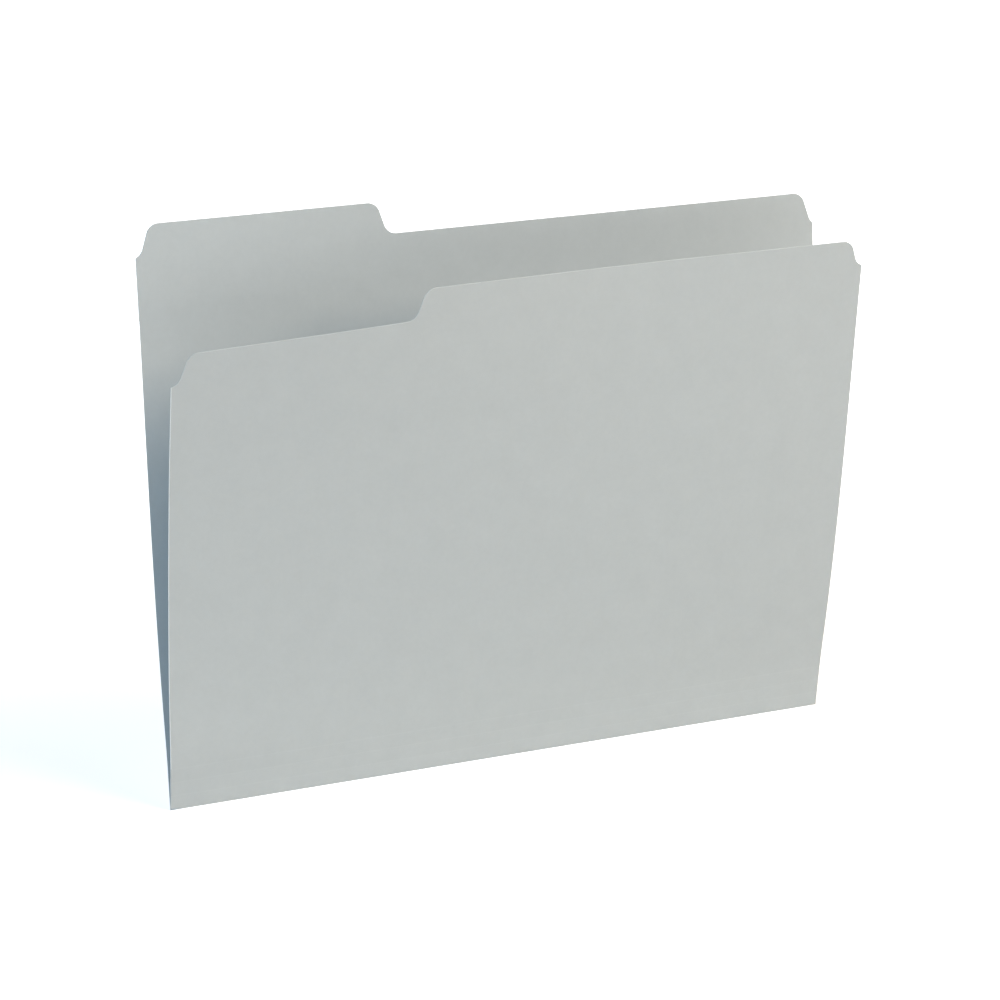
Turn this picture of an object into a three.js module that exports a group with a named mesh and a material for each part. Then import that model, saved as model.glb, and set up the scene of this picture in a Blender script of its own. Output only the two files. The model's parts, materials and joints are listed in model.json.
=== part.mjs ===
// Reinforced file folder, letter size, with a third-cut tab at the left end of its back cover.
// Millimetres, +Z up, +X along the fold, the front cover towards -Y. It stands on its fold, a little open.
// The origin is on the surface that it stands on, under the middle of its outline.

import * as THREE from 'three';

// Sheet: one die-cut piece of card, folded once
const sheetWidth = 295.3;
const stockThickness = 0.28;

// Covers: each height is measured from the fold, up along its own cover, and the two lengths run from
// the left end to the middle of a step
const tabTop = 241.3;
const tabHeight = 13.2;
const tabLength = 102.2;
const frontTop = 219.5;
const undercutLength = 100.6;
const undercutDepth = 13.5;
const undercutDrop = 3.2;

// Lean of each cover from upright, in degrees: their sum is how far the folder stands open
const backLean = 4.9;
const frontLean = 7.1;

// S-shaped cuts: an arc, a steep straight and an arc back, as the die cuts every step and corner
const cutRadius = 5.3;
const cutSlope = 72;

// Corners, where such a cut runs out at a side edge: its rise, and its slope there in degrees
const backCornerRise = 13;
const backLeftSlope = 23;
const backRightSlope = 38;
const frontRightRise = 11.1;
const frontRightSlope = 20;
const frontLeftRise = 13.8;
const frontLeftSlope = 13;

// Fold, and the expansion scores that are pressed into the front side above it
const foldFaceGap = 0.1;
const creaseGap = 0.05;
const scorePitch = 6.35;
const scoreCount = 3;
const scoreWidth = 0.8;
const scoreDepth = 0.1;

// Reinforcing ply, glued to the outer face of the back cover along its top edge
const plyHeight = 38.1;
const plyThickness = 0.28;
const glueThickness = 0.05;

// Fineness of the round stretches
const arcStep = 11.5;
const beadSides = 12;

// Derived sizes
const degrees = THREE.MathUtils.degToRad;
const halfWidth = sheetWidth / 2;
const backTop = tabTop - tabHeight;
const undercutTop = frontTop - undercutDepth;
const tabEndX = tabLength - halfWidth;
const undercutEndX = undercutLength - halfWidth;
const innerFace = foldFaceGap / 2;
const outerFace = innerFace + stockThickness;
const foldRadius = outerFace;
const coverStart = foldRadius + creaseGap;
const lastScore = scoreCount * scorePitch;
const scoreRadius = stockThickness / 2;
const scoreReach = scoreRadius + 2 * creaseGap;
const frontReach = frontTop * Math.sin(degrees(frontLean)) + outerFace * Math.cos(degrees(frontLean));
const plyReach = outerFace + glueThickness + plyThickness;
const backReach = tabTop * Math.sin(degrees(backLean)) + plyReach * Math.cos(degrees(backLean));

// Card stock, a shade apart so that the pieces can be told from each other
const card = (color) => new THREE.MeshStandardMaterial({ color, roughness: 0.85, metalness: 0 });
const backCard = card(0xb9bfc1);
const frontCard = card(0xc1c5c3);
const bandCard = card(0xbdc5c8);
const creaseCard = card(0xaab3b8);
const plyCard = card(0xb2babd);

// Points of an S-shaped cut that rises from its foot at (x, s), going inward (+1 or -1) along the fold.
// Its lower arc turns up from startSlope to cutSlope, and its upper arc turns back to level.
function sCut(x, s, inward, rise, startSlope = 0) {
  const start = degrees(startSlope);
  const steep = degrees(cutSlope);
  const arcRise = Math.cos(start) + 1 - 2 * Math.cos(steep);
  const radius = Math.min(cutRadius, rise / arcRise);
  const straight = (rise - radius * arcRise) / Math.sin(steep);
  const upperRun = radius * (Math.sin(steep) - Math.sin(start)) + straight * Math.cos(steep);
  const upperRise = radius * (Math.cos(start) - Math.cos(steep)) + straight * Math.sin(steep);
  const points = [];
  const add = (run, up) => points.push(new THREE.Vector2(x + inward * run, s + up));
  const lowerSteps = Math.ceil((cutSlope - startSlope) / arcStep);
  for (let i = 0; i <= lowerSteps; i += 1) {
    const slope = start + ((steep - start) * i) / lowerSteps;
    add(radius * (Math.sin(slope) - Math.sin(start)), radius * (Math.cos(start) - Math.cos(slope)));
  }
  const upperSteps = Math.ceil(cutSlope / arcStep);
  for (let i = 0; i <= upperSteps; i += 1) {
    const slope = steep * (1 - i / upperSteps);
    const run = radius * (Math.sin(steep) - Math.sin(slope));
    add(upperRun + run, upperRise + radius * (Math.cos(slope) - Math.cos(steep)));
  }
  return points;
}

// How far such a cut runs along the fold between two level edges
const cutRun = (rise) => sCut(0, 0, 1, rise).at(-1).x;

// Outline of the back cover from a given height up: corner, top edge, step up to the tab, corner
function backOutline(bottom) {
  return new THREE.Shape([
    new THREE.Vector2(-halfWidth, bottom),
    new THREE.Vector2(halfWidth, bottom),
    ...sCut(halfWidth, backTop - backCornerRise, -1, backCornerRise, backRightSlope),
    ...sCut(tabEndX + cutRun(tabHeight) / 2, backTop, -1, tabHeight),
    ...sCut(-halfWidth, tabTop - backCornerRise, 1, backCornerRise, backLeftSlope).reverse(),
  ]);
}

// Outline of the front cover from a given height up: corner, top edge, step down to the undercut, corner.
// The undercut edge falls a little from the step to the left corner.
function frontOutline(bottom) {
  return new THREE.Shape([
    new THREE.Vector2(-halfWidth, bottom),
    new THREE.Vector2(halfWidth, bottom),
    ...sCut(halfWidth, frontTop - frontRightRise, -1, frontRightRise, frontRightSlope),
    ...sCut(undercutEndX - cutRun(undercutDepth) / 2, undercutTop, 1, undercutDepth).reverse(),
    ...sCut(-halfWidth, undercutTop - undercutDrop - frontLeftRise, 1, frontLeftRise, frontLeftSlope).reverse(),
  ]);
}

// In a cover's own axes X runs along the fold, Y up the cover and Z towards the front.
// A panel is an outline in X and Y, given thickness from one Z up.
function panel(name, outline, nearFace, thickness, material) {
  const geometry = new THREE.ExtrudeGeometry(outline, { depth: thickness, bevelEnabled: false });
  geometry.translate(0, 0, nearFace);
  const mesh = new THREE.Mesh(geometry, material);
  mesh.name = name;
  return mesh;
}

// A band is a section in Z and Y, drawn along the whole fold
function band(name, section, material) {
  const outline = new THREE.Shape(section.map(([z, y]) => new THREE.Vector2(-z, y)));
  const geometry = new THREE.ExtrudeGeometry(outline, { depth: sheetWidth, bevelEnabled: false });
  geometry.translate(0, 0, -halfWidth);
  geometry.rotateY(Math.PI / 2);
  const mesh = new THREE.Mesh(geometry, material);
  mesh.name = name;
  return mesh;
}

// A crease is the round line of crushed fibres that the card turns on
function crease(name, radius, y, z) {
  const geometry = new THREE.CylinderGeometry(radius, radius, sheetWidth, beadSides);
  geometry.rotateZ(Math.PI / 2);
  const mesh = new THREE.Mesh(geometry, creaseCard);
  mesh.position.set(0, y, z);
  mesh.name = name;
  return mesh;
}

// Back side: the cover with its tab, and the ply glued behind its top
function backSide() {
  const side = new THREE.Group();
  side.rotation.x = degrees(90 - backLean);
  side.add(
    panel('back_cover', backOutline(coverStart), -outerFace, stockThickness, backCard),
    panel('tab_reinforcement', backOutline(tabTop - plyHeight), -plyReach, plyThickness, plyCard),
  );
  return side;
}

// Section of a band from one height to another: a scored edge is pressed in on the outer face
function bandSection(low, high, lowScored, highScored) {
  const bevel = scoreWidth / 2;
  const pressed = outerFace - scoreDepth;
  const lowEdge = lowScored ? [[pressed, low], [outerFace, low + bevel]] : [[outerFace, low]];
  const highEdge = highScored ? [[outerFace, high - bevel], [pressed, high]] : [[outerFace, high]];
  return [[innerFace, low], ...lowEdge, ...highEdge, [innerFace, high]];
}

// Bands of the sheet between the fold and the last score, which become the bottom when it is squared
function spineBands() {
  const bands = [];
  for (let k = 1; k <= scoreCount; k += 1) {
    const isFirst = k === 1;
    const isLast = k === scoreCount;
    const low = isFirst ? coverStart : (k - 1) * scorePitch + creaseGap / 2;
    const high = isLast ? lastScore - scoreReach : k * scorePitch - creaseGap / 2;
    bands.push(band(`spine_band_${k}`, bandSection(low, high, !isFirst, !isLast), bandCard));
  }
  return bands;
}

// Front side: the spine bands, the last score and the cover that turns on it
function frontSide() {
  const side = new THREE.Group();
  side.rotation.x = degrees(90 + frontLean);
  side.add(
    ...spineBands(),
    crease('score_crease', scoreRadius, lastScore, innerFace + scoreRadius),
    panel('front_cover', frontOutline(lastScore + scoreReach), innerFace, stockThickness, frontCard),
  );
  return side;
}

const group = new THREE.Group();
group.position.set(0, (frontReach - backReach) / 2, foldRadius);
group.add(crease('fold_crease', foldRadius, 0, 0), backSide(), frontSide());

export default group;
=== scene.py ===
import json
import math

import bpy
import numpy as np
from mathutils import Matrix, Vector


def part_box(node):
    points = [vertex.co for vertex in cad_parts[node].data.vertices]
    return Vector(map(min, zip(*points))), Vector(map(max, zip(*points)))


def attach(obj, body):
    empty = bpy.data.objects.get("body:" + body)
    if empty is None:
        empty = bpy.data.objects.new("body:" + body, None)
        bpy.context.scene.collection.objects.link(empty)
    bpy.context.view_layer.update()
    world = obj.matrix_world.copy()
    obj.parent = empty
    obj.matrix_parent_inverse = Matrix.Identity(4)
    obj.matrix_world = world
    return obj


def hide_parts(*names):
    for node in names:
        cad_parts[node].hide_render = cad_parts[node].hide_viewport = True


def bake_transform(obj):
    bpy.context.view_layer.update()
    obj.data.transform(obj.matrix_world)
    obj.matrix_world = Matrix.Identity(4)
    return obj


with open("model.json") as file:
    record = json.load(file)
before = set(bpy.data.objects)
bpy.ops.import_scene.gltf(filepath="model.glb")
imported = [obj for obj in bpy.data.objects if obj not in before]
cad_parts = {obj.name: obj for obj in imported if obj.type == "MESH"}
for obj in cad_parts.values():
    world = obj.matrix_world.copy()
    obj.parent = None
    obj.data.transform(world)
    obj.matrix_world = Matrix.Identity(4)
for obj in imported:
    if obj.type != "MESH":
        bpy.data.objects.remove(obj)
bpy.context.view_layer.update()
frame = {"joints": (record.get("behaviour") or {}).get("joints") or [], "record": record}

# Camera
# The photograph looks down on the front of the folder from its left, from well over a metre away.
# The aim is the point where the line of sight crosses the upright plane over the origin.
camera_azimuth = -21.87
camera_elevation = 19.38
camera_distance = 1.27131
camera_aim = Vector((-0.00378, 0.0, 0.11658))
camera_lens = 111.212
camera_sensor = 36


def outward(azimuth, elevation):
    """Unit vector from the folder towards a viewer.

    Azimuth 0 is straight in front and grows towards +X. Elevation is 0 where the viewer looks level.
    """
    a = math.radians(azimuth)
    e = math.radians(elevation)
    return Vector((math.sin(a) * math.cos(e), -math.cos(a) * math.cos(e), math.sin(e)))


def face_back(obj, direction):
    """Turns a camera or lamp, which looks along its own -Z, to look back along a direction."""
    obj.rotation_euler = direction.to_track_quat("Z", "Y").to_euler()


camera = bpy.data.objects.new("camera", bpy.data.cameras.new("camera"))
camera.data.sensor_width = camera_sensor
camera.data.lens = camera_lens
camera.data.clip_start = 0.01
camera.data.clip_end = 50
camera.location = camera_aim + camera_distance * outward(camera_azimuth, camera_elevation)
face_back(camera, outward(camera_azimuth, camera_elevation))
bpy.context.scene.collection.objects.link(camera)
bpy.context.scene.camera = camera
bpy.context.scene.view_settings.view_transform = "Standard"

# Studio light
# A wide lamp at the front right, a little warm, a weaker blue one at the front left and a low neutral
# one behind, with a faint light from all round. The surroundings show white to the camera.
surround_colour = (0.97, 0.99, 1.0, 1.0)
surround_strength = 0.08
backdrop_white = (1.0, 1.0, 1.0, 1.0)
lamp_distance = 5.0


def add_node(tree, kind, values=None, **properties):
    """Adds one node: properties are its own settings, and values are its inputs by name or number."""
    node = tree.nodes.new(kind)
    for key, value in properties.items():
        setattr(node, key, value)
    for key, value in (values or {}).items():
        if isinstance(value, bpy.types.NodeSocket):
            tree.links.new(value, node.inputs[key])
        else:
            node.inputs[key].default_value = value
    return node


def seen_ray(tree):
    """1 for a camera, glossy or transmission ray, and 0 for the rays that carry light."""
    path = add_node(tree, "ShaderNodeLightPath")
    seen = path.outputs["Is Camera Ray"]
    for other in ("Is Glossy Ray", "Is Transmission Ray"):
        either = add_node(tree, "ShaderNodeMath", {0: seen, 1: path.outputs[other]}, operation="MAXIMUM")
        seen = either.outputs[0]
    return seen


def soft_lamp(name, azimuth, elevation, size, power, colour):
    """A square lamp that faces the middle of the folder, which evens out its light across the covers."""
    lamp = bpy.data.objects.new(name, bpy.data.lights.new(name, "AREA"))
    lamp.data.shape = "SQUARE"
    lamp.data.size = size
    lamp.data.energy = power
    lamp.data.color = colour
    lamp.location = camera_aim + lamp_distance * outward(azimuth, elevation)
    face_back(lamp, outward(azimuth, elevation))
    bpy.context.scene.collection.objects.link(lamp)


world = bpy.data.worlds.new("studio")
world.use_nodes = True
world.node_tree.nodes.clear()
surround = add_node(
    world.node_tree, "ShaderNodeBackground", {"Color": surround_colour, "Strength": surround_strength}
)
backdrop = add_node(world.node_tree, "ShaderNodeBackground", {"Color": backdrop_white, "Strength": 1.0})
world_mix = add_node(
    world.node_tree,
    "ShaderNodeMixShader",
    {0: seen_ray(world.node_tree), 1: surround.outputs[0], 2: backdrop.outputs[0]},
)
add_node(world.node_tree, "ShaderNodeOutputWorld", {0: world_mix.outputs[0]})
bpy.context.scene.world = world

soft_lamp("left_lamp", azimuth=-52, elevation=38, size=3.6, power=153, colour=(0.45, 0.72, 1.0))
soft_lamp("right_lamp", azimuth=50, elevation=35, size=3.6, power=268, colour=(1.0, 0.86, 0.70))
soft_lamp("back_lamp", azimuth=170, elevation=14, size=2.0, power=160, colour=(1.0, 0.99, 0.98))

# Floor
# A plain pale floor that runs out of sight. It scatters light as pale paper does and keeps the
# folder's shadow. To the camera it is lifted to white, fully so away from the folder.
floor_half = 8.0
floor_colour = (0.78, 0.78, 0.78, 1.0)
near_lift = 0.57
far_lift = 1.0
lift_from = 0.2
lift_to = 0.7

floor_material = bpy.data.materials.new("floor")
floor_material.use_nodes = True
floor_tree = floor_material.node_tree
floor_tree.nodes.clear()
floor_matte = add_node(floor_tree, "ShaderNodeBsdfDiffuse", {"Color": floor_colour})
floor_place = add_node(floor_tree, "ShaderNodeTexCoord").outputs["Object"]
floor_away = add_node(floor_tree, "ShaderNodeVectorMath", {0: floor_place}, operation="LENGTH")
floor_lift = add_node(
    floor_tree,
    "ShaderNodeMapRange",
    {
        "Value": floor_away.outputs["Value"],
        "From Min": lift_from,
        "From Max": lift_to,
        "To Min": near_lift,
        "To Max": far_lift,
    },
    interpolation_type="SMOOTHSTEP",
)
lift_strength = add_node(
    floor_tree, "ShaderNodeMath", {0: seen_ray(floor_tree), 1: floor_lift.outputs[0]}, operation="MULTIPLY"
)
floor_glow = add_node(
    floor_tree, "ShaderNodeEmission", {"Color": backdrop_white, "Strength": lift_strength.outputs[0]}
)
floor_sum = add_node(floor_tree, "ShaderNodeAddShader", {0: floor_matte.outputs[0], 1: floor_glow.outputs[0]})
add_node(floor_tree, "ShaderNodeOutputMaterial", {0: floor_sum.outputs[0]})

floor_mesh = bpy.data.meshes.new("floor")
floor_corners = floor_half * np.array([(-1, -1, 0), (1, -1, 0), (1, 1, 0), (-1, 1, 0)])
floor_mesh.from_pydata(floor_corners.tolist(), [], [(0, 1, 2, 3)])
floor_mesh.materials.append(floor_material)
floor = bpy.data.objects.new("floor", floor_mesh)
bpy.context.scene.collection.objects.link(floor)

# Card stock
# One grey card, coloured through, is what the whole folder is cut from. Its surface is a matte felt of
# short fibres, a little cloudy against the light. A cut edge shows the same fibres, painted paler as a
# highlight along the edge, and a narrow strip at the front cover's left end is painted near white, a
# painted highlight.
mm = 0.001
card_dark = (0.510, 0.533, 0.524, 1.0)
card_light = (0.538, 0.561, 0.551, 1.0)
# Cut edges are painted paler than the faces: a painted highlight along every cut edge.
edge_highlight_dark = (0.66, 0.68, 0.66, 1.0)
edge_highlight_light = (0.73, 0.75, 0.73, 1.0)
# Near white for a narrow strip at the front cover's left end: a painted highlight.
highlight_strip_dark = (0.84, 0.86, 0.84, 1.0)
highlight_strip_light = (0.93, 0.95, 0.93, 1.0)
face_roughness = 0.86
edge_roughness = 0.92
face_relief = 0.012 * mm
edge_relief = 0.02 * mm
card_specular = 0.3
cloud_size = 11 * mm
mottle_size = 2.2 * mm
fibre_length = 1.6 * mm
fibre_width = 0.14 * mm
fibre_angles = (18, 79, 141)
cloud_share = 0.35
mottle_share = 0.35
felt_share = 0.30
tone_spread = (0.35, 0.65)
crush_paling = 0.5
felt_spread = (0.3, 0.7)
roughness_swing = 0.05
felt_relief_share = 0.7
mottle_relief_share = 0.3


def noise(tree, coordinates, length, width, detail, roughness=0.5, turn=0.0):
    """Noise with features of a given length and width, turned by an angle in the cover's plane."""
    mapping = add_node(
        tree,
        "ShaderNodeMapping",
        {"Vector": coordinates, "Rotation": (0.0, math.radians(turn), 0.0)},
    )
    scaled = add_node(
        tree,
        "ShaderNodeVectorMath",
        {0: mapping.outputs[0], 1: (1 / length, 1 / width, 1 / width)},
        operation="MULTIPLY",
    )
    texture = add_node(
        tree,
        "ShaderNodeTexNoise",
        {"Vector": scaled.outputs[0], "Scale": 1.0, "Detail": detail, "Roughness": roughness},
    )
    return texture.outputs["Fac"]


def blend_of(tree, parts):
    """Weighted sum of (value, weight) pairs, as a chain of multiply-adds."""
    total = 0.0
    for value, weight in parts:
        step = add_node(tree, "ShaderNodeMath", {0: value, 1: weight, 2: total}, operation="MULTIPLY_ADD")
        total = step.outputs[0]
    return total


def remap(tree, value, spread, low, high):
    """Carries a value from the range that it spreads over to the range from low to high."""
    ends = {"Value": value, "From Min": spread[0], "From Max": spread[1], "To Min": low, "To Max": high}
    return add_node(tree, "ShaderNodeMapRange", ends).outputs[0]


def card_stock(name, dark, light, roughness, relief):
    """Matte card: clouds, mottle and crossed fibres shift its tone, its roughness and its relief together."""
    material = bpy.data.materials.new(name)
    material.use_nodes = True
    tree = material.node_tree
    tree.nodes.clear()
    place = add_node(tree, "ShaderNodeTexCoord").outputs["Object"]
    clouds = noise(tree, place, cloud_size, cloud_size, detail=2.0)
    mottle = noise(tree, place, mottle_size, mottle_size, detail=3.0, roughness=0.6)
    fibres = [noise(tree, place, fibre_length, fibre_width, detail=1.0, turn=turn) for turn in fibre_angles]
    felt = blend_of(tree, [(fibre, 1 / len(fibres)) for fibre in fibres])
    tone = blend_of(tree, [(clouds, cloud_share), (mottle, mottle_share), (felt, felt_share)])
    crushed = add_node(tree, "ShaderNodeAttribute", attribute_name="crushed").outputs["Fac"]
    lifted = blend_of(tree, [(remap(tree, tone, tone_spread, 0.0, 1.0), 1.0), (crushed, crush_paling)])
    colour = add_node(tree, "ShaderNodeMix", {"Factor": lifted}, data_type="RGBA", clamp_factor=False)
    for socket in colour.inputs:
        if socket.type == "RGBA":
            socket.default_value = dark if socket.name == "A" else light
    grain = remap(tree, felt, felt_spread, roughness - roughness_swing, roughness + roughness_swing)
    height = blend_of(tree, [(felt, felt_relief_share), (mottle, mottle_relief_share)])
    bump = add_node(tree, "ShaderNodeBump", {"Strength": 1.0, "Distance": relief, "Height": height})
    shader = add_node(
        tree,
        "ShaderNodeBsdfPrincipled",
        {
            "Base Color": colour.outputs["Result"],
            "Roughness": grain,
            "Normal": bump.outputs[0],
            "Specular IOR Level": card_specular,
        },
    )
    add_node(tree, "ShaderNodeOutputMaterial", {0: shader.outputs[0]})
    return material


card_face = card_stock("card_face", card_dark, card_light, face_roughness, face_relief)
# The cut edges' stock, painted paler than the faces as a highlight along each edge.
card_edge_highlight = card_stock("card_cut_edge_highlight", edge_highlight_dark, edge_highlight_light, edge_roughness, edge_relief)
# A near-white stock for the strip at the front cover's left end: a painted highlight.
card_highlight_strip = card_stock("card_painted_highlight_strip", highlight_strip_dark, highlight_strip_light, edge_roughness, edge_relief)

# Back cover
# The rear half of the one die-cut sheet, with the tab at its left end. The die cuts every step and
# corner as the same S: an arc, a steep straight and an arc back. It leans back from the fold.
joints = {joint["name"]: joint for joint in frame["joints"]}
mounts = {mount["name"]: mount for mount in frame["record"]["mounts"]}
fold_axis = np.array(joints["cover_open"]["pos_m"])
half_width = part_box("back_cover")[1].x
thickness = 0.28 * mm
fold_gap = 0.1 * mm
inner_face = fold_gap / 2
outer_face = inner_face + thickness
fold_reach = 0.38 * mm
tab_top = 241.3 * mm
tab_height = 13.2 * mm
tab_length = 102.2 * mm
cut_radius = 5.3 * mm
cut_slope = math.radians(72)
back_corner_rise = 13 * mm
back_left_slope = math.radians(23)
back_right_slope = math.radians(38)
edge_radius = 0.05 * mm
edge_support = 0.25 * mm
edge_angles = np.radians([0, 30, 60, 90])
slope_step = 1e-4 * mm
slope_margin = 1e-3 * mm
column_pitch = 2.5 * mm
row_pitch = 2.5 * mm
cut_pitch = 0.15 * mm
crowded_pitch = 0.4 * cut_pitch
clear_support = 0.9 * edge_support
same_place = 1e-6 * mm
cockle_depth = 0.03 * mm
cockle_rise = 120 * mm
cockle_waves = ((1.0, 41, 17, 0.6), (0.7, 23, -38, 2.1), (0.5, 77, 9, 0.0))
curl_start = 19.3 * mm
curl_ease = 6 * mm
curl_left = -3.01 * mm
curl_right = 2.14 * mm
curl_scale = 27 / 4


def cut_arcs(rise, start):
    """The radius of an S cut's two arcs, and the length of the straight between them.

    The arcs rise by radius * (cos(start) + 1 - 2 cos(steep)) and the straight takes up the rest. A cut
    too low for that has no straight and tighter arcs.
    """
    arc_rise = math.cos(start) + 1 - 2 * math.cos(cut_slope)
    radius = min(cut_radius, rise / arc_rise)
    return radius, (rise - radius * arc_rise) / math.sin(cut_slope)


def cut_run(rise, start=0.0):
    """How far an S cut runs along the fold, over its two arcs and the straight between them."""
    radius, straight = cut_arcs(rise, start)
    return radius * (2 * math.sin(cut_slope) - math.sin(start)) + straight * math.cos(cut_slope)


def s_cut(run, rise, start=0.0):
    """Height of an S cut above its foot after a run along the fold.

    The lower arc turns from the start slope up to the steep slope, so that
    sin(slope) = run / radius + sin(start) there. A straight follows, and the upper arc is the
    lower one turned round, measured back from the end of the cut. Outside the cut it is level.
    """
    radius = cut_arcs(rise, start)[0]
    whole_run = cut_run(rise, start)
    lower_run = radius * (math.sin(cut_slope) - math.sin(start))
    lower_rise = radius * (math.cos(start) - math.cos(cut_slope))
    upper_run = radius * math.sin(cut_slope)
    run = np.clip(run, 0, whole_run)
    lower = np.sin(start) + np.minimum(run, lower_run) / radius
    upper = np.minimum(whole_run - run, upper_run) / radius
    height = radius * (math.cos(start) - np.sqrt(1 - lower**2))
    height = np.where(run > lower_run, lower_rise + (run - lower_run) * math.tan(cut_slope), height)
    return np.where(run > whole_run - upper_run, rise - radius * (1 - np.sqrt(1 - upper**2)), height)


tab_step_foot = tab_length - half_width + cut_run(tab_height) / 2


def back_edge(x):
    """Height of the back cover's top edge: the tab's top, less what each S cut takes off at x."""
    left = back_corner_rise - s_cut(x + half_width, back_corner_rise, back_left_slope)
    step = tab_height - s_cut(tab_step_foot - x, tab_height)
    right = back_corner_rise - s_cut(half_width - x, back_corner_rise, back_right_slope)
    return tab_top - left - step - right


def columns(cuts):
    """Places along the fold: an even pitch, a finer one over each cut (from, to), and one beside each end.

    A place that crowds the one before it, or comes between an end and the place beside it, is left out.
    """
    ends = half_width - np.array([0.0, edge_support])
    even = np.linspace(-half_width, half_width, round(2 * half_width / column_pitch) + 1)
    fine = [np.arange(start, stop, cut_pitch) for start, stop in cuts]
    every = np.unique(np.concatenate([-ends, ends, even, *fine]))
    every = every[np.abs(every) <= half_width]
    crowded = np.append(False, np.diff(every) < crowded_pitch)
    crowded[-1] = False
    kept = every[~crowded]
    from_end = half_width - np.abs(kept)
    return kept[(from_end >= clear_support) | (from_end < same_place)]


def rows(height, extra=()):
    """Shares of a sheet's height: an even pitch, one beside each end, and extra heights above its foot."""
    even = np.linspace(0, 1, round(height / row_pitch) + 1)
    beside = edge_support / height
    return np.unique(np.concatenate([even, [beside, 1 - beside], np.array(extra) / height]))


def cockle(x, s):
    """Slight waviness of card that has taken up damp: crossed waves that die out towards the fold.

    Each wave is its weight times the sine of a x + b s + its phase.
    """
    waves = sum(weight * np.sin(a * x + b * s + phase) for weight, a, b, phase in cockle_waves)
    return cockle_depth * waves * np.clip(s / cockle_rise, 0, 1) ** 2


def eased(s):
    """Height above the start of the curl, let in gently: the square root of u^2 + ease^2, less the ease."""
    return np.sqrt(np.maximum(s - curl_start, 0) ** 2 + curl_ease**2) - curl_ease


def curl(x, s):
    """Slow twist of the whole folder: towards the back at its left end, and to the front at its right end.

    It starts above the third score, so that the scores stay straight and can turn. There it follows
    27/4 t (1 - t)^2 of the share t of the eased height, which is 1 at its deepest, a third of the way
    up. Its depth changes evenly from the left end to the right end.
    """
    t = eased(s) / eased(tab_top)
    depth = curl_left + (curl_right - curl_left) * (x / half_width + 1) / 2
    return depth * curl_scale * t * (1 - t) ** 2


def cover_place(mount, side, flare=None):
    """Gives the function that takes (along the fold, up the cover, outwards) to places in the frame.

    side is 1 for the front and -1 for the back, and flare is a cover's own bend outwards.
    """
    out = np.array(mounts[mount]["axis"])
    up = side * np.cross(out, (1, 0, 0))

    def place(x, s, z):
        """The fold's axis, plus s up and z outwards, moved by the curl and cockle that both covers share."""
        lift = z + side * (curl(x, s) + cockle(x, s)) + (flare(x, s) if flare else 0)
        return fold_axis + x[..., None] * np.array((1, 0, 0)) + s[..., None] * up + lift[..., None] * out

    return place


def sheet_grids(x, shares, low, top, faces, place, cut_top):
    """A sheet's points as like grids over (x, share), from its inner face round the rim to its outer face.

    At angle a round the quarter beside a face, a grid lies radius * (1 - sin a) inside the outline,
    square to it, and radius * (1 - cos a) below that face. Gives the last grid's heights as well.
    """
    angles = np.concatenate([edge_angles, edge_angles[::-1]])
    inside = np.clip(x, -half_width + slope_margin, half_width - slope_margin)
    slope = (top(inside + slope_step) - top(inside - slope_step)) / (2 * slope_step)
    inward = np.zeros_like(x)
    inward[0] = 1
    inward[-1] = -1
    grids = []
    for k, angle in enumerate(angles):
        inset = edge_radius * (1 - np.sin(angle))
        depth = edge_radius * (1 - np.cos(angle))
        edge = top(x) - (inset * np.sqrt(1 + slope**2) if cut_top else 0)
        s = low + shares[None, :] * (edge[:, None] - low)
        inner, outer = faces(s)
        z = inner + depth if k < len(edge_angles) else outer - depth
        along = np.broadcast_to((x + inward * inset)[:, None], s.shape)
        grids.append(place(along, s, z).reshape(-1, 3))
    return grids, s.ravel()


def sheet_skin(column_count, row_count, cut_top):
    """Numbers of a grid's rim points once round, the sheet's quads, and which of its rim strips are cut.

    The rim runs along the bottom, up, back along the top and down. Points count as the inner grid, the
    outer grid, then the rim of each grid between. The quads are the two faces, and then the strips.
    """
    number = np.arange(column_count * row_count).reshape(column_count, row_count)
    rim = np.concatenate([number[:, 0], number[-1, 1:], number[-2::-1, -1], number[0, -2:0:-1]])
    face = np.stack([number[:-1, :-1], number[1:, :-1], number[1:, 1:], number[:-1, 1:]], -1).reshape(-1, 4)
    ring_count = 2 * len(edge_angles) - 2
    rings = 2 * number.size + np.arange(ring_count * len(rim)).reshape(ring_count, len(rim))
    loops = np.concatenate([rim[None], rings, rim[None] + number.size])
    ahead = np.roll(loops, -1, axis=1)
    strips = np.stack([loops[:-1], ahead[:-1], ahead[1:], loops[1:]], -1).reshape(-1, 4)
    along = np.arange(len(rim))
    is_low = along < column_count - 1
    is_high = (along >= column_count + row_count - 2) & (along < 2 * column_count + row_count - 3)
    is_cut = np.tile(~is_low & (cut_top | ~is_high), len(loops) - 1)
    return rim, np.concatenate([face[:, ::-1], face + number.size, strips]), is_cut


def card_piece(name, points, quads, stock, which, smooth, crushed=None):
    """One closed skin: which numbers each quad's stock, and crushed is 1 where the fibres are crushed."""
    mesh = bpy.data.meshes.new(name)
    mesh.from_pydata(points.tolist(), [], quads.tolist())
    for material in stock:
        mesh.materials.append(material)
    mesh.polygons.foreach_set("material_index", which.astype(int))
    mesh.polygons.foreach_set("use_smooth", smooth)
    if crushed is not None:
        attribute = mesh.attributes.new("crushed", "FLOAT", "POINT")
        attribute.data.foreach_set("value", crushed.astype(np.float32))
    mesh.update()
    piece = bpy.data.objects.new(name, mesh)
    bpy.context.scene.collection.objects.link(piece)
    return piece


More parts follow.
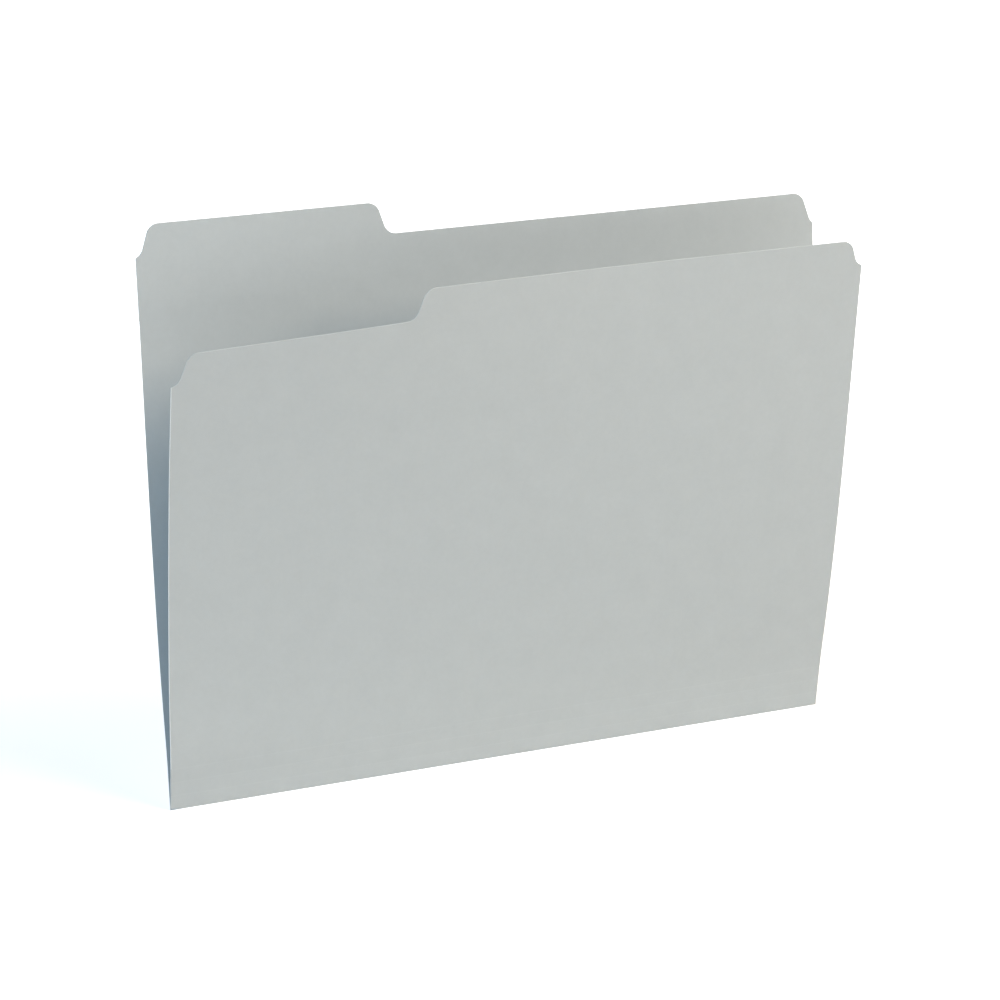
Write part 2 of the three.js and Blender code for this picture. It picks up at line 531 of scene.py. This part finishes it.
def card_sheet(
    name, x, shares, low, top, faces, place, mirrored, cut_top=True, crush=None, stock=None, highlight_strip_left=False
):
    """A flat or pressed sheet as one closed skin, with its cut edges rounded.

    Its two faces are grids over x and the share of the height from the low edge to the top edge, and
    faces gives their distances outwards for a height s. Between them the rim is a stack of rings: a
    quarter round at each face, with the straight cut between. The low end, and the top where it isn't
    cut, are plain ends that meet the next stretch of card. mirrored turns the quads round, for the
    back. highlight_strip_left makes the last of the stocks, a painted highlight, run along the left end
    of both faces.
    """
    grids, heights = sheet_grids(x, shares, low, top, faces, place, cut_top)
    rim, quads, is_cut = sheet_skin(len(x), len(shares), cut_top)
    points = np.concatenate([grids[0], grids[-1], *[grid[rim] for grid in grids[1:-1]]])
    stock = stock or (card_face, card_edge_highlight, card_highlight_strip)
    face_stock = np.zeros((len(x) - 1, len(shares) - 1), int)
    # The strip at the left end of both faces takes the last stock, which is a painted highlight.
    face_stock[0] = len(stock) - 1 if highlight_strip_left else 0
    which = np.concatenate([face_stock.ravel(), face_stock.ravel(), is_cut])
    smooth = np.concatenate([np.ones(2 * face_stock.size, bool), is_cut])
    crushed = None
    if crush is not None:
        crushed = crush(np.concatenate([heights, heights, np.tile(heights[rim], len(grids) - 2)]))
    return card_piece(name, points, quads[:, ::-1] if mirrored else quads, stock, which, smooth, crushed)


def back_faces(s):
    """The back cover's two faces lie level, one card apart."""
    return np.full_like(s, inner_face), np.full_like(s, outer_face)


back_place = cover_place("back_face", -1)
back_cuts = [
    (-half_width, -half_width + cut_run(back_corner_rise, back_left_slope)),
    (tab_step_foot - cut_run(tab_height), tab_step_foot),
    (half_width - cut_run(back_corner_rise, back_right_slope), half_width),
]
back_columns = columns(back_cuts)
back_rows = rows(tab_top - fold_reach)
back_cover_card = card_sheet(
    "back_cover_card", back_columns, back_rows, fold_reach, back_edge, back_faces, back_place, mirrored=True
)
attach(back_cover_card, "back_half")
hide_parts("back_cover")

# Reinforcing ply and its glue
# A second strip of the same card, glued to the outer face along the whole top of the back cover and
# cut with it, so that the tab is two cards thick. The glue is a film that stops short of the edges.
ply_height = 38.1 * mm
ply_thickness = 0.28 * mm
glue_thickness = 0.05 * mm
glue_setback = 0.6 * mm
glue_rows = 16
glue_colour = (0.55, 0.54, 0.49, 1.0)
glue_roughness = (0.25, 0.45)
streak_length = 20 * mm
streak_width = 1.2 * mm
ply_low = tab_top - ply_height
ply_inner = outer_face + glue_thickness


def ply_faces(s):
    """The ply lies on the glue, behind the cover's outer face."""
    return np.full_like(s, ply_inner), np.full_like(s, ply_inner + ply_thickness)


def glue_faces(s):
    """The film fills the space between the cover and the ply."""
    return np.full_like(s, outer_face), np.full_like(s, ply_inner)


def glue_edge(x):
    """The film's top edge: the cover's own, lowered by twice the setback, as the S cuts are steep."""
    return back_edge(x) - 2 * glue_setback


glue = bpy.data.materials.new("glue")
glue.use_nodes = True
glue.node_tree.nodes.clear()
glue_place = add_node(glue.node_tree, "ShaderNodeTexCoord").outputs["Object"]
glue_streaks = noise(glue.node_tree, glue_place, streak_length, streak_width, detail=2.0)
glue_gloss = remap(glue.node_tree, glue_streaks, (0.0, 1.0), *glue_roughness)
glue_shader = add_node(
    glue.node_tree, "ShaderNodeBsdfPrincipled", {"Base Color": glue_colour, "Roughness": glue_gloss}
)
add_node(glue.node_tree, "ShaderNodeOutputMaterial", {0: glue_shader.outputs[0]})

reinforcing_ply = card_sheet(
    "reinforcing_ply",
    back_columns,
    rows(ply_height),
    ply_low,
    back_edge,
    ply_faces,
    back_place,
    mirrored=True,
)
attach(reinforcing_ply, "back_half")
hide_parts("tab_reinforcement")

glue_film = card_sheet(
    "glue_film",
    back_columns * (1 - glue_setback / half_width),
    np.linspace(0, 1, glue_rows),
    ply_low + glue_setback,
    glue_edge,
    glue_faces,
    back_place,
    mirrored=True,
    stock=(glue, glue),
)
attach(glue_film, "back_half")

# Fold
# The line where the sheet is folded double: its fibres are crushed, and the card runs round it in a
# tight bend from one cover's faces to the other's. Each half of the bend is built at its own cover's angle.
bend_steps = 12
straight_steps = 6
fold_columns = 60


def towards(angle):
    """Unit vectors square to the fold, for angles that grow from straight up towards the front."""
    return np.stack([np.zeros_like(angle), -np.sin(angle), np.cos(angle)], -1)


def half_bend(name, angle, side):
    """Half of the bend, from its lowest line to where a cover starts, as one closed skin.

    Its two faces turn about the fold at their own distances from it, from half a turn to the given
    angle. From there they run on straight by the fold's reach, square to that angle's direction.
    side is 1 for the half towards the back and -1 for the half towards the front.
    """
    arc = towards(np.linspace(math.pi, angle, bend_steps + 1))
    up_cover = towards(np.array(angle + side * math.pi / 2))
    climb = np.linspace(0, fold_reach, straight_steps + 1)[1:, None] * up_cover
    inner = np.concatenate([inner_face * arc, inner_face * arc[-1] + climb])
    outer = np.concatenate([outer_face * arc, outer_face * arc[-1] + climb])
    section = fold_axis + np.concatenate([inner, outer[::-1]])
    x = np.linspace(-half_width, half_width, fold_columns)
    points = (section + x[:, None, None] * np.array((1, 0, 0))).reshape(-1, 3)
    number = np.arange(len(points)).reshape(len(x), len(section))
    ahead = np.roll(number, -1, axis=1)
    skin = np.stack([number[:-1], number[1:], ahead[1:], ahead[:-1]], -1).reshape(-1, 4)
    step = np.arange(len(inner) - 1)
    across = np.stack([step, step + 1, len(section) - 2 - step, len(section) - 1 - step], -1)
    quads = np.concatenate([skin, number[0][across], number[-1][across][:, ::-1]])
    is_cut = np.arange(len(quads)) >= len(skin)
    is_end = np.zeros((len(x) - 1, len(section)), bool)
    is_end[:, [len(inner) - 1, -1]] = True
    smooth = np.concatenate([~is_end.ravel(), np.zeros(2 * len(step), bool)])
    stock = (card_face, card_edge_highlight)
    return card_piece(name, points, quads[:, ::side], stock, is_cut, smooth, np.ones(len(points)))


back_turn = 3 * math.pi / 2 + math.asin(mounts["back_face"]["axis"][2])
fold_bend_back = half_bend("fold_bend_back", back_turn, 1)
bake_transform(fold_bend_back)
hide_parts("fold_crease")

front_turn = math.pi / 2 - math.asin(mounts["front_face"]["axis"][2])
fold_bend_front = half_bend("fold_bend_front", front_turn, -1)
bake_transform(fold_bend_front)

# Spine bands
# The strip of the front side between the fold and the third score, which becomes the bottom when the
# folder is squared out. A blunt rule has pressed two scores into it: a groove outside, a ridge inside.
score_pitch = 6.35 * mm
score_count = 3
score_half_width = 0.5 * mm
score_steps = 13
groove_depth = 0.02 * mm
ridge_height = 0.02 * mm
score_reach = 0.24 * mm
score_heights = score_pitch * np.arange(1, score_count + 1)
last_score = score_count * score_pitch
spine_top = last_score - score_reach


def pressing(s):
    """How deep the rule went at height s: a raised cosine, 1 at the middle of a score and 0 beside it."""
    away = np.min(np.abs(s[..., None] - score_heights), axis=-1)
    return 0.5 + 0.5 * np.cos(np.pi * np.clip(away / score_half_width, 0, 1))


def front_faces(s):
    """The front side's faces: each score is a groove outside and the ridge that it raises inside."""
    return inner_face - ridge_height * pressing(s), outer_face - groove_depth * pressing(s)


def around_scores(low, high):
    """Heights above the low edge where rows follow the scores' round sections."""
    steps = np.linspace(-1, 1, score_steps) * score_half_width
    every = (score_heights[:, None] + steps).ravel()
    return every[(every > low) & (every < high)] - low


front_place = cover_place("front_face", 1)
spine_card = card_sheet(
    "spine_card",
    columns([]),
    rows(spine_top - fold_reach, around_scores(fold_reach, spine_top)),
    fold_reach,
    lambda x: np.full_like(x, spine_top),
    front_faces,
    front_place,
    mirrored=False,
    cut_top=False,
    crush=pressing,
)
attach(spine_card, "spine")
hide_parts(*[f"spine_band_{k + 1}" for k in range(score_count)])

# Third score
# The pressed line on which the front cover turns when the bottom is squared out. Here a strip of
# card little longer than its thickness runs from the spine to the cover.
bend_rows = 25
bend_top = last_score + score_reach
score_bend = card_sheet(
    "score_bend",
    columns([]),
    np.linspace(0, 1, bend_rows),
    spine_top,
    lambda x: np.full_like(x, bend_top),
    front_faces,
    front_place,
    mirrored=False,
    cut_top=False,
    crush=pressing,
)
middle = np.array([inner_face + thickness / 2])
bend_ends = [front_place(np.zeros(1), np.array([s]), middle)[0] for s in (spine_top, bend_top)]
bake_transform(score_bend)
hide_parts("score_crease")

# Front cover
# The front half of the sheet, cut lower than the back and lower still at its left end, so that the
# tab stands clear above it. Its corners and its step are the same S cuts. A narrow strip along its left end
# is painted near white, a painted highlight.
front_top = 219.5 * mm
undercut_length = 100.6 * mm
undercut_depth = 13.5 * mm
undercut_drop = 3.2 * mm
front_right_rise = 11.1 * mm
front_right_slope = math.radians(20)
front_left_rise = 13.8 * mm
front_left_slope = math.radians(13)
undercut_foot = undercut_length - half_width - cut_run(undercut_depth) / 2
undercut_end = cut_run(front_left_rise, front_left_slope) - half_width
flare_depth = 3.5 * mm
flare_start = 120 * mm
flare_from = -90 * mm
flare_to = 70 * mm


def front_edge(x):
    """Height of the front cover's top edge: its right part, less what each S cut takes off at x.

    The undercut edge also falls evenly by undercut_drop from the step's foot to the left corner.
    """
    right = front_right_rise - s_cut(half_width - x, front_right_rise, front_right_slope)
    step = undercut_depth - s_cut(x - undercut_foot, undercut_depth)
    fall = undercut_drop * np.clip((undercut_foot - x) / (undercut_foot - undercut_end), 0, 1)
    left = front_left_rise - s_cut(x + half_width, front_left_rise, front_left_slope)
    return front_top - right - step - fall - left


def flare(x, s):
    """How far the cover's upper left part stands forward, by the square of its share of the height there.

    It is full at the left and fades to nothing at the right along a smooth step, 3 t^2 - 2 t^3.
    """
    t = np.clip((x - flare_from) / (flare_to - flare_from), 0, 1)
    rise = np.maximum(s - flare_start, 0) / (front_top - flare_start)
    return flare_depth * (1 - t * t * (3 - 2 * t)) * rise**2


front_cuts = [
    (-half_width, -half_width + cut_run(front_left_rise, front_left_slope)),
    (undercut_foot, undercut_foot + cut_run(undercut_depth)),
    (half_width - cut_run(front_right_rise, front_right_slope), half_width),
]
front_cover_card = card_sheet(
    "front_cover_card",
    columns(front_cuts),
    rows(front_top - bend_top, around_scores(bend_top, front_top)),
    bend_top,
    front_edge,
    front_faces,
    cover_place("front_face", 1, flare),
    mirrored=False,
    crush=pressing,
    # Its left end carries the near-white strip, a painted highlight.
    highlight_strip_left=True,
)
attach(front_cover_card, "front_half")
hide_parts("front_cover")
